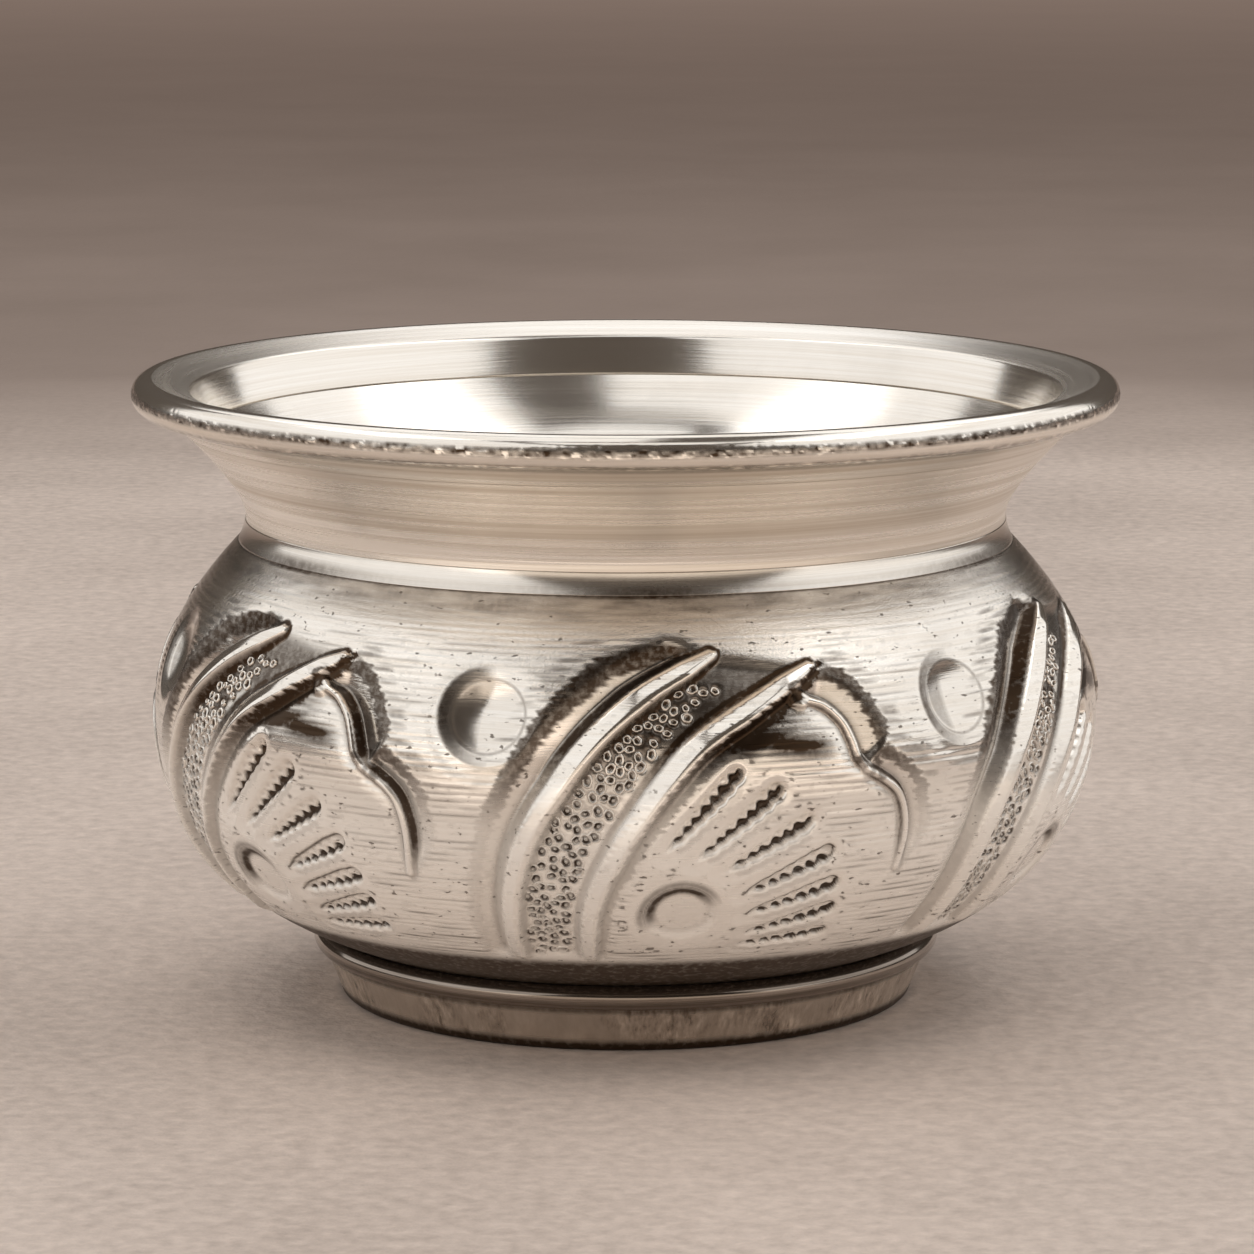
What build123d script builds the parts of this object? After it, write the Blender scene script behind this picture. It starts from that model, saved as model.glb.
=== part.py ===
from build123d import *
from math import asin, atan2, cos, degrees, hypot, radians, sin, sqrt
import os

# A small footed offering bowl of soldered white metal.
# Millimetres and degrees. The bowl stands on z = 0 and its axis is Z.
# Every piece is a turned ring, so each one is drawn as a half section in (radius, height).

# Foot
foot_bottom_radius = 20.4
foot_top_radius = 21.6
foot_taper_height = 3.15
foot_wall = 1.2
foot_edge_round = 0.3
foot_bead_radius = 0.85
foot_bead_gap = 0.05

# Belly shell
belly_radius = 33.6
belly_lower_height = 15.45
belly_upper_height = 14.0
belly_wall = 0.85
mouth_radius = 25.5
shoulder_angle = 45.0
base_angle = 22.3
base_overhang = 1.1
base_inset = 1.1

# Belly's embossed ornament, which repeats round the axis
ornament_repeats = 6
ridge_height = 0.35
ridge_width = 2.2
ridge_tip_width = 0.66
ridge_foot_width = 1.3
lip_height = 0.25
lip_line_width = 0.8
lip_tip_width = 0.32
dimple_diameter = 5.4
dimple_depth = 0.95
dimple_ring_diameter = 7.9
dimple_ring_depth = 0.45
medallion_diameter = 5.4
medallion_floor_diameter = 4.0
medallion_depth = 0.5
slot_inner_width = 0.45
slot_outer_width = 1.1
slot_depth = 0.5

# Places on the belly: degrees round the axis from the front, and the share of the way down its side
outer_ridge = [(10.5, 0.136), (-9.7, 0.459), (-14.85, 0.814)]
inner_ridge = [(23.3, 0.167), (-0.6, 0.505), (-5.5, 0.814)]
upper_scroll = [(20.4, 0.248), (25.8, 0.303), (27.7, 0.390)]
lower_scroll = [(27.7, 0.390), (32.5, 0.465), (33.2, 0.600)]
dimple_place = (-16.4, 0.277)
medallion_place = (6.8, 0.675)
fan_slots = [
    ((3.8, 0.543), (11.9, 0.381)),
    ((8.0, 0.557), (17.2, 0.418)),
    ((11.4, 0.586), (21.1, 0.476)),
    ((14.5, 0.626), (24.1, 0.537)),
    ((14.9, 0.678), (25.5, 0.620)),
    ((14.9, 0.736), (25.8, 0.687)),
    ((14.7, 0.788), (25.8, 0.759)),
]

# Neck collar
waist_rise = 1.65
waist_spread = 0.45
flare_angle = 45.0
collar_wall = 0.8

# Rim ring
rim_diameter = 70.0
rim_height = 3.9
rim_width = 5.0
rim_bead_diameter = 2.4
rim_bead_turn = 85.0
lip_width = 4.1
lip_drop = 0.9

# Solder seams
neck_solder_leg = 1.3
neck_solder_hollow = 0.08
rim_solder_leg = 2.0
rim_solder_hollow = 0.05
foot_solder_leg = 1.0
foot_solder_hollow = 0.1


def direction(start, end):
    """Unit vector from one section point to another."""
    return (end - start).normalized()


def heading_at(angle):
    """Unit vector at an angle above the outward radius."""
    return Vector(cos(radians(angle)), sin(radians(angle)))


def left_of(heading):
    """Unit vector a quarter turn to the left of a heading."""
    return Vector(-heading.Y, heading.X)


def meet(point_a, heading_a, point_b, heading_b):
    """Section point where two straight lines cross."""
    apart = point_b - point_a
    turn = heading_a.X * heading_b.Y - heading_a.Y * heading_b.X
    along = (apart.X * heading_b.Y - apart.Y * heading_b.X) / turn
    return point_a + heading_a * along


def at_height(point, heading, height):
    """Section point at a height on a line."""
    return point + heading * ((height - point.Y) / heading.Y)


def at_radius(point, heading, radius):
    """Section point at a radius on a line."""
    return point + heading * ((radius - point.X) / heading.X)


def ring(*edges):
    """Solid of revolution about Z with these edges as its closed half section."""
    return revolve(Plane.XZ * make_face(list(edges)), Axis.Z)


def seam(end_a, *corners, end_b, hollow):
    """Solder seam that fills the corners between two ends.

    Its hollow front runs from the first end to the second with the metal on its left.
    """
    middle = (end_a + end_b) * 0.5
    inward = left_of(direction(end_a, end_b))
    deepest = middle + inward * hollow
    return ring(Polyline(end_a, *corners, end_b), ThreePointArc(end_b, deepest, end_a))


# Section points that several pieces share, stacked from the foot up.
# The foot ring's top lies on the belly's sloping base, just clear of the bead.
base_heading = -heading_at(base_angle)
foot_top_outer = Vector(foot_top_radius, foot_taper_height + 2 * foot_bead_radius + foot_bead_gap)
foot_top_inner = at_radius(foot_top_outer, base_heading, foot_top_radius - foot_wall)
base = at_radius(foot_top_outer, base_heading, foot_top_radius + base_overhang)
bottom_edge = at_radius(foot_top_inner, base_heading, foot_top_inner.X - base_inset)

# The belly swells from its base to its equator and closes in to its mouth.
equator = Vector(belly_radius, base.Y + belly_lower_height)
mouth = Vector(mouth_radius, equator.Y + belly_upper_height)
shoulder_heading = heading_at(-shoulder_angle)
base_guide = at_radius(base, base_heading, belly_radius)
shoulder_guide = at_radius(mouth, shoulder_heading, belly_radius)

# The collar's inside rises from the mouth's edge to a waist and flares from there to the rim ring.
rim_radius = rim_diameter / 2
waist = mouth + Vector(waist_spread, waist_rise)
neck_heading = direction(mouth, waist)
flare_heading = heading_at(flare_angle)
flare_start = at_radius(waist, flare_heading, rim_radius - rim_width)

# The rim's bead is a round tangent to the sloping lip.
rim_top = flare_start.Y + rim_height
bead_radius = rim_bead_diameter / 2
bead_centre = Vector(rim_radius - bead_radius, rim_top - bead_radius)
bead_end = bead_centre + heading_at(-rim_bead_turn) * bead_radius
lip_edge = Vector(rim_radius - lip_width, rim_top - lip_drop)

# The collar's flared end goes on behind the rim ring, up to the ring's flat underside.
neck_outer_start = mouth - left_of(neck_heading) * collar_wall
flare_outer_start = flare_start - left_of(flare_heading) * collar_wall
outer_waist = meet(neck_outer_start, neck_heading, flare_outer_start, flare_heading)
collar_foot = meet(neck_outer_start, neck_heading, mouth, shoulder_heading)
collar_end = at_height(flare_start, flare_heading, bead_end.Y)
collar_outer_end = at_height(flare_outer_start, flare_heading, bead_end.Y)
rim_seam_end = collar_outer_end - flare_heading * rim_solder_leg

# The belly's outside curves from the end of the collar's seam down to its base.
seat_end = collar_foot + shoulder_heading * neck_solder_leg
belly_line = Wire([Bezier(seat_end, shoulder_guide, equator), Bezier(equator, base_guide, base)])


def belly_form(swell):
    """Solid belly, grown outwards all over by a length."""
    shoulder_shift = left_of(shoulder_heading) * swell
    base_shift = left_of(base_heading) * swell
    top = mouth + shoulder_shift
    seat = seat_end + shoulder_shift
    widest = equator + Vector(swell, 0)
    low = base + base_shift
    bottom = bottom_edge + base_shift
    return ring(
        Polyline(Vector(0, top.Y), top, seat),
        Bezier(seat, at_radius(top, shoulder_heading, widest.X), widest),
        Bezier(widest, at_radius(low, base_heading, widest.X), low),
        Polyline(low, bottom, Vector(0, bottom.Y), Vector(0, top.Y)),
    )


def belly_place(angle, share):
    """Plane that lies on the belly, X to the right and Z outwards."""
    along = share * belly_line.length
    point = belly_line.position_at(along, PositionMode.LENGTH)
    outward = left_of(belly_line.tangent_at(along, PositionMode.LENGTH))
    turn = angle - 90
    return Plane(
        origin=Vector(point.X, 0, point.Y).rotate(Axis.Z, turn),
        x_dir=Vector(0, 1, 0).rotate(Axis.Z, turn),
        z_dir=Vector(outward.X, 0, outward.Y).rotate(Axis.Z, turn),
    )


def seen_from(plane, place):
    """Where a place on the belly lies in another place's plane."""
    local = plane.to_local_coords(belly_place(*place).origin)
    return Vector(local.X, local.Y)


def repeated(solid):
    """The solid at every repeat of the ornament."""
    return [Rot(0, 0, 360 / ornament_repeats * i) * solid for i in range(ornament_repeats)]


def curved_rib(places, start_width, middle_width, end_width, height):
    """Rib that stands out from the belly along an arc through three places.

    Its sides go deep enough to meet the round belly at both ends.
    """
    plane = belly_place(*places[1])
    start = seen_from(plane, places[0])
    end = seen_from(plane, places[2])
    across = left_of(direction(start, end)) * 0.5
    start_half = across * start_width
    middle_half = across * middle_width
    end_half = across * end_width
    outline = make_face(
        [
            Line(start - start_half, start + start_half),
            ThreePointArc(start + start_half, middle_half, end + end_half),
            Line(end + end_half, end - end_half),
            ThreePointArc(end - end_half, -middle_half, start - start_half),
        ]
    )
    return extrude(plane * outline, belly_radius / 4, both=True) & belly_form(height)


def round_hollow(place, diameter, depth, grown=0):
    """Ball that sinks a round hollow of this size at a place, or that ball grown by a length."""
    plane = belly_place(*place)
    radius = (diameter**2 / 4 + depth**2) / (2 * depth)
    return Pos(plane.origin + plane.z_dir * (radius - depth)) * Sphere(radius + grown)


def medallion():
    """Cutter for a round dish with a flat floor and a sloping wall."""
    spread = (medallion_diameter - medallion_floor_diameter) / 2
    cutter = Cone(
        medallion_floor_diameter / 2,
        medallion_diameter / 2 + spread,
        2 * medallion_depth,
    )
    return belly_place(*medallion_place).location * cutter


def fan_slot(inner_place, outer_place):
    """Cutter for one tapered slot of the fan."""
    middle = [(a + b) / 2 for a, b in zip(inner_place, outer_place)]
    plane = belly_place(*middle)
    inner = seen_from(plane, inner_place)
    outer = seen_from(plane, outer_place)
    across = left_of(direction(inner, outer)) * 0.5
    corners = [
        inner + across * slot_inner_width,
        outer + across * slot_outer_width,
        outer - across * slot_outer_width,
        inner - across * slot_inner_width,
    ]
    outline = make_face(Polyline(*corners, close=True).edges())
    return extrude(plane.offset(-slot_depth) * outline, 2 * slot_depth)


def belly_cavity():
    """Inside of the belly, open at the mouth, with the back of each dimple standing into it."""
    inner_shoulder = mouth - left_of(shoulder_heading) * belly_wall
    inner_mouth = at_radius(inner_shoulder, shoulder_heading, mouth_radius)
    inner_equator = equator - Vector(belly_wall, 0)
    inner_shoulder_guide = at_radius(inner_mouth, shoulder_heading, inner_equator.X)
    inner_base = base - left_of(base_heading) * belly_wall
    inner_base_guide = at_radius(inner_base, base_heading, inner_equator.X)
    floor_edge = at_height(inner_base, base_heading, bottom_edge.Y + belly_wall)
    above_mouth = mouth.Y + belly_wall
    cavity = ring(
        Polyline(Vector(0, above_mouth), Vector(mouth_radius, above_mouth), inner_mouth),
        Bezier(inner_mouth, inner_shoulder_guide, inner_equator),
        Bezier(inner_equator, inner_base_guide, inner_base),
        Polyline(inner_base, floor_edge, Vector(0, floor_edge.Y), Vector(0, above_mouth)),
    )
    return cavity - repeated(round_hollow(dimple_place, dimple_diameter, dimple_depth, belly_wall))


def belly_shell():
    """Spun belly with a closed bottom, embossed all round with ridges, scrolls, dimples and fans."""
    ribs = [
        curved_rib(outer_ridge, ridge_tip_width, ridge_width, ridge_foot_width, ridge_height),
        curved_rib(inner_ridge, ridge_tip_width, ridge_width, ridge_foot_width, ridge_height),
        curved_rib(upper_scroll, lip_line_width, lip_line_width, lip_line_width, lip_height),
        curved_rib(lower_scroll, lip_line_width, lip_line_width, lip_tip_width, lip_height),
    ]
    hollows = [
        round_hollow(dimple_place, dimple_ring_diameter, dimple_ring_depth),
        round_hollow(dimple_place, dimple_diameter, dimple_depth),
        medallion(),
    ]
    hollows += [fan_slot(*ends) for ends in fan_slots]
    outside = belly_form(0) + [copy for rib in ribs for copy in repeated(rib)]
    return outside - belly_cavity() - [copy for hollow in hollows for copy in repeated(hollow)]


def neck_collar():
    """Spun collar that rests on the shoulder, narrows to a waist and flares to the rim."""
    seam_end = collar_foot + neck_heading * neck_solder_leg
    return ring(
        Polyline(mouth, collar_foot, seam_end),
        Bezier(seam_end, outer_waist, rim_seam_end),
        Polyline(rim_seam_end, collar_outer_end, collar_end, flare_start),
        Bezier(flare_start, waist, mouth),
    )


def rim_ring():
    """Solid rim ring with a lip that slopes inwards and a round bead outside."""
    reach = bead_centre - lip_edge
    distance = hypot(reach.X, reach.Y)
    lip_slope = degrees(atan2(reach.Y, reach.X) + asin(bead_radius / distance))
    lip_end = lip_edge + heading_at(lip_slope) * sqrt(distance**2 - bead_radius**2)
    bead_start_angle = lip_slope + 90
    return ring(
        Polyline(collar_end, flare_start, lip_edge, lip_end),
        CenterArc(bead_centre, bead_radius, bead_start_angle, -bead_start_angle - rim_bead_turn),
        Line(bead_end, collar_end),
    )


def foot_ring():
    """Tapered strip ring that the bowl stands on."""
    taper_inner = Vector(foot_top_inner.X, foot_taper_height)
    bottom_inner = Vector(foot_bottom_radius - foot_wall, 0)
    section = Polyline(
        foot_top_inner,
        foot_top_outer,
        Vector(foot_top_radius, foot_taper_height),
        Vector(foot_bottom_radius, 0),
        bottom_inner,
        taper_inner,
        close=True,
    )
    face = make_face(section.edges())
    bottom_corners = face.vertices().group_by(Axis.Y)[0]
    return revolve(Plane.XZ * fillet(bottom_corners, foot_edge_round), Axis.Z)


def neck_solder_seam():
    """Seam in the crease between the collar and the shoulder."""
    on_collar = collar_foot + neck_heading * neck_solder_leg
    return seam(seat_end, collar_foot, end_b=on_collar, hollow=neck_solder_hollow)


def rim_solder_seam():
    """Seam in the corner under the rim, between the collar's flare and the bead's lower edge."""
    return seam(rim_seam_end, collar_outer_end, end_b=bead_end, hollow=rim_solder_hollow)


def foot_solder_seam():
    """Seam inside the foot, between the ring's wall and the belly's base."""
    on_wall = foot_top_inner - Vector(0, foot_solder_leg)
    on_base = foot_top_inner + base_heading * foot_solder_leg
    return seam(on_base, foot_top_inner, end_b=on_wall, hollow=foot_solder_hollow)


def foot_bead():
    """Half-round wire round the top of the foot ring, just above its taper."""
    centre = Vector(foot_top_radius, foot_taper_height + foot_bead_radius)
    rise = Vector(0, foot_bead_radius)
    return ring(CenterArc(centre, foot_bead_radius, -90, 180), Line(centre + rise, centre - rise))


pieces = {
    "belly_shell": belly_shell(),
    "neck_collar": neck_collar(),
    "rim_ring": rim_ring(),
    "foot_ring": foot_ring(),
    "foot_bead": foot_bead(),
    "neck_solder_seam": neck_solder_seam(),
    "rim_solder_seam": rim_solder_seam(),
    "foot_solder_seam": foot_solder_seam(),
}

os.makedirs("parts", exist_ok=True)
for name, piece in pieces.items():
    export_step(piece, f"parts/{name}.step")
    print(name, round(piece.volume, 1), "mm3")
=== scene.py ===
import math

import bpy
import numpy as np
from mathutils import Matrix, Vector


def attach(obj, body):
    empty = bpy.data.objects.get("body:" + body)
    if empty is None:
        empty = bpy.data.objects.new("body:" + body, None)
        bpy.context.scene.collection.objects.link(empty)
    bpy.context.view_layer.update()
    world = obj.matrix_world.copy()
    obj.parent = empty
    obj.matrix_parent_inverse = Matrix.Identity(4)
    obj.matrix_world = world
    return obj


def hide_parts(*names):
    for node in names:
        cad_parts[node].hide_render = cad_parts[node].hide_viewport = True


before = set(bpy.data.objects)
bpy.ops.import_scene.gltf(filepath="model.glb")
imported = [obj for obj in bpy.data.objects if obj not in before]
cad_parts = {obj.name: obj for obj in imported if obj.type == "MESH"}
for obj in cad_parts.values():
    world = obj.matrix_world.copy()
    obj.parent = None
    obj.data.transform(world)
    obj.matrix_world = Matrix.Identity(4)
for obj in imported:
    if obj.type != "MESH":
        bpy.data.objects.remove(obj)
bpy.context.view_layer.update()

# A footed offering bowl of soldered white metal. Sections are (radius, height) in millimetres.
# Directions round the axis are in degrees: 0 faces the camera and they grow to the right.
MM = 0.001
seed = np.random.default_rng(7)


# Sections


def direction(start, end):
    """Unit vector from one section point to another."""
    step = np.subtract(end, start)
    return step / np.hypot(*step)


def heading_at(angle):
    """Unit vector at an angle above the outward radius."""
    return np.array([math.cos(math.radians(angle)), math.sin(math.radians(angle))])


def left_of(heading):
    """Unit vector a quarter turn to the left of a heading."""
    return np.array([-heading[1], heading[0]])


def meet(point_a, heading_a, point_b, heading_b):
    """Section point where two straight lines cross."""
    apart = point_b - point_a
    turn = heading_a[0] * heading_b[1] - heading_a[1] * heading_b[0]
    along = (apart[0] * heading_b[1] - apart[1] * heading_b[0]) / turn
    return point_a + heading_a * along


def at_height(point, heading, height):
    """Section point at a height on a line."""
    return point + heading * ((height - point[1]) / heading[1])


def at_radius(point, heading, radius):
    """Section point at a radius on a line."""
    return point + heading * ((radius - point[0]) / heading[0])


def bend(start, guide, end, count=40):
    """Points on a smooth bend that starts and ends along the lines to its guide point."""
    t = np.linspace(0, 1, count)[:, None]
    return (1 - t) ** 2 * np.asarray(start) + 2 * t * (1 - t) * np.asarray(guide) + t**2 * np.asarray(end)


def arc(centre, radius, start, end, count=24):
    """Points on an arc from one angle to another."""
    angles = np.radians(np.linspace(start, end, count))
    return np.asarray(centre) + radius * np.stack([np.cos(angles), np.sin(angles)], 1)


def eased(corners, ease, closed=True):
    """Straight runs through the corners, each corner eased over a short length."""
    corners = np.asarray(corners, float)
    most = 0.45
    count = len(corners)
    points = []
    for i in range(count):
        corner = corners[i]
        if not closed and i in (0, count - 1):
            points.append(corner[None])
            continue
        before = corners[i - 1]
        after = corners[(i + 1) % count]
        reach_in = min(ease, np.hypot(*(before - corner)) * most)
        reach_out = min(ease, np.hypot(*(after - corner)) * most)
        start = corner + direction(corner, before) * reach_in
        end = corner + direction(corner, after) * reach_out
        points.append(bend(start, corner, end, 6))
    return np.concatenate(points)


def run_lengths(points):
    """Length along a line up to each of its points."""
    return np.concatenate([[0], np.cumsum(np.hypot(*np.diff(points, axis=0).T))])


def points_along(points, along):
    """Points at given lengths along a line."""
    lengths = run_lengths(points)
    return np.stack([np.interp(along, lengths, points[:, k]) for k in (0, 1)], 1)


def evenly(points, step, closed=False):
    """The same line with points about one step apart."""
    points = np.asarray(points, float)
    if closed:
        points = np.concatenate([points, points[:1]])
    whole = run_lengths(points)[-1]
    count = max(int(round(whole / step)), 2)
    along = np.linspace(0, whole, count + 1)
    return points_along(points, along[:-1] if closed else along)


def section_normals(points, closed):
    """Unit normals of a section line, on its left."""
    if closed:
        ahead = np.roll(points, -1, 0) - np.roll(points, 1, 0)
    else:
        ahead = np.gradient(points, axis=0)
    ahead /= np.hypot(ahead[:, 0], ahead[:, 1])[:, None]
    return np.stack([-ahead[:, 1], ahead[:, 0]], 1)


# Foot
FOOT_BOTTOM_RADIUS, FOOT_TOP_RADIUS = 20.4, 21.6
FOOT_TAPER_HEIGHT, FOOT_WALL = 3.15, 1.2
FOOT_BEAD_RADIUS, FOOT_BEAD_GAP = 0.85, 0.05

# Belly
BELLY_RADIUS, BELLY_LOWER_HEIGHT, BELLY_UPPER_HEIGHT = 33.6, 15.45, 14.0
BELLY_WALL, MOUTH_RADIUS = 0.85, 25.5
SHOULDER_ANGLE, BASE_ANGLE = 45.0, 22.3
BASE_OVERHANG, BASE_INSET = 1.1, 1.1

# Neck collar and rim
WAIST_RISE, WAIST_SPREAD, FLARE_ANGLE, COLLAR_WALL = 1.65, 0.45, 45.0, 0.8
RIM_RADIUS, RIM_HEIGHT, RIM_WIDTH = 35.0, 3.9, 5.0
RIM_BEAD_RADIUS, RIM_BEAD_TURN = 1.2, 85.0
LIP_WIDTH, LIP_DROP = 4.1, 0.9

# Solder seams: the neck's sits lower on the shoulder than in the CAD model
NECK_SEAT = 1.3
NECK_SEAM_DROP, NECK_SEAM_DOWN, NECK_SEAM_UP, NECK_SEAM_HOLLOW = 0.95, 1.0, 0.85, 0.07
RIM_SEAM_LEG, RIM_SEAM_BULGE = 2.0, 1.25
FOOT_SEAM_LEG, FOOT_SEAM_HOLLOW = 1.0, 0.1

base_heading = -heading_at(BASE_ANGLE)
foot_top_outer = np.array([FOOT_TOP_RADIUS, FOOT_TAPER_HEIGHT + 2 * FOOT_BEAD_RADIUS + FOOT_BEAD_GAP])
foot_top_inner = at_radius(foot_top_outer, base_heading, FOOT_TOP_RADIUS - FOOT_WALL)
base = at_radius(foot_top_outer, base_heading, FOOT_TOP_RADIUS + BASE_OVERHANG)
bottom_edge = at_radius(foot_top_inner, base_heading, foot_top_inner[0] - BASE_INSET)
equator = np.array([BELLY_RADIUS, base[1] + BELLY_LOWER_HEIGHT])
mouth = np.array([MOUTH_RADIUS, equator[1] + BELLY_UPPER_HEIGHT])
shoulder_heading = heading_at(-SHOULDER_ANGLE)
base_guide = at_radius(base, base_heading, BELLY_RADIUS)
shoulder_guide = at_radius(mouth, shoulder_heading, BELLY_RADIUS)
waist = mouth + np.array([WAIST_SPREAD, WAIST_RISE])
neck_heading = direction(mouth, waist)
flare_heading = heading_at(FLARE_ANGLE)
flare_start = at_radius(waist, flare_heading, RIM_RADIUS - RIM_WIDTH)
rim_top = flare_start[1] + RIM_HEIGHT
bead_centre = np.array([RIM_RADIUS - RIM_BEAD_RADIUS, rim_top - RIM_BEAD_RADIUS])
bead_end = bead_centre + heading_at(-RIM_BEAD_TURN) * RIM_BEAD_RADIUS
lip_edge = np.array([RIM_RADIUS - LIP_WIDTH, rim_top - LIP_DROP])
neck_outer_start = mouth - left_of(neck_heading) * COLLAR_WALL
flare_outer_start = flare_start - left_of(flare_heading) * COLLAR_WALL
outer_waist = meet(neck_outer_start, neck_heading, flare_outer_start, flare_heading)
collar_foot = meet(neck_outer_start, neck_heading, mouth, shoulder_heading)
collar_end = at_height(flare_start, flare_heading, bead_end[1])
collar_outer_end = at_height(flare_outer_start, flare_heading, bead_end[1])
rim_seam_end = collar_outer_end - flare_heading * RIM_SEAM_LEG
neck_seam_corner = collar_foot + shoulder_heading * NECK_SEAM_DROP
neck_seam_low = neck_seam_corner + shoulder_heading * NECK_SEAM_DOWN
neck_seam_high = neck_seam_corner + neck_heading * NECK_SEAM_UP
foot_seam_in = foot_top_inner + base_heading * FOOT_SEAM_LEG
foot_seam_down = foot_top_inner - np.array([0, FOOT_SEAM_LEG])


# Materials


class Nodes:
    """Adds nodes to one material and links them."""

    def __init__(self, name):
        self.material = bpy.data.materials.new(name)
        self.material.use_nodes = True
        self.tree = self.material.node_tree
        self.shader = self.tree.nodes["Principled BSDF"]

    def set(self, node, socket, value):
        target = node.inputs[socket]
        if isinstance(value, bpy.types.NodeSocket):
            self.tree.links.new(value, target)
        else:
            target.default_value = value

    def add(self, kind, values=None, output=0, **settings):
        node = self.tree.nodes.new(kind)
        for key, value in settings.items():
            setattr(node, key, value)
        for socket, value in (values or {}).items():
            self.set(node, socket, value)
        return node.outputs[output]

    def coords(self):
        """Object coordinates in metres."""
        return self.add("ShaderNodeTexCoord", output=3)

    def noise(self, scale, detail, roughness):
        """Noise with so many repeats a metre along each axis."""
        place = self.add("ShaderNodeMapping", {"Vector": self.coords(), "Scale": scale})
        values = {"Vector": place, "Scale": 1.0, "Detail": detail, "Roughness": roughness}
        return self.add("ShaderNodeTexNoise", values)

    def spread(self, value, low, high, to_low=0.0, to_high=1.0):
        values = {0: value, 1: low, 2: high, 3: to_low, 4: to_high}
        return self.add("ShaderNodeMapRange", values, clamp=True)

    def math(self, operation, a, b):
        return self.add("ShaderNodeMath", {0: a, 1: b}, operation=operation)

    def blend(self, share, colour_a, colour_b):
        values = {"Factor": share, 6: colour_a, 7: colour_b}
        return self.add("ShaderNodeMix", values, output=2, data_type="RGBA")

    def bump(self, height, distance, strength=1.0, normal=None):
        values = {"Height": height, "Distance": distance, "Strength": strength}
        if normal is not None:
            values["Normal"] = normal
        return self.add("ShaderNodeBump", values)


SILVER = (0.93, 0.89, 0.83, 1.0)
WARM_SILVER = (0.83, 0.765, 0.68, 1.0)
BRIGHT_SILVER = (0.98, 0.94, 0.88, 1.0)
COLLAR_SHADE = (0.69, 0.617, 0.53, 1.0)
FOOT_SILVER = (0.95, 0.845, 0.73, 1.0)
FOOT_SHADE = (0.31, 0.255, 0.205, 1.0)
# The foot wire's colours are darkened with painted shade, as it sits low under the belly's overhang
WIRE_SILVER_SHADED = (0.44, 0.38, 0.33, 1.0)
WIRE_SHADE = (0.14, 0.11, 0.085, 1.0)
# Dark brown for stains, specks and patina; it also paints shade and dark reflections
DARK_TARNISH_AND_SHADE = (0.055, 0.034, 0.02, 1.0)

# Repeats a metre along each axis
LATHE_LINES = (240.0, 240.0, 9000.0)
LONG_LINES = (50.0, 50.0, 9000.0)
COLLAR_LINES = (26.0, 26.0, 3600.0)
UPRIGHT_STREAKS = (2600.0, 2600.0, 40.0)
CLOUDS = (110.0, 110.0, 110.0)
SPECKS = (1500.0, 1500.0, 3200.0)
GRIT = (2200.0, 2200.0, 2200.0)
BRUSHED = (4200.0, 4200.0, 9000.0)

# Depth of the brushed sparkle, heights between which the belly grows dull, and what that changes
BRUSHED_DEPTH = 0.00003
DULL_FROM, DULL_BELOW = 0.0235, 0.017
DULL_ROUGHNESS, DULL_METALLIC = 0.15, 0.68


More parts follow.
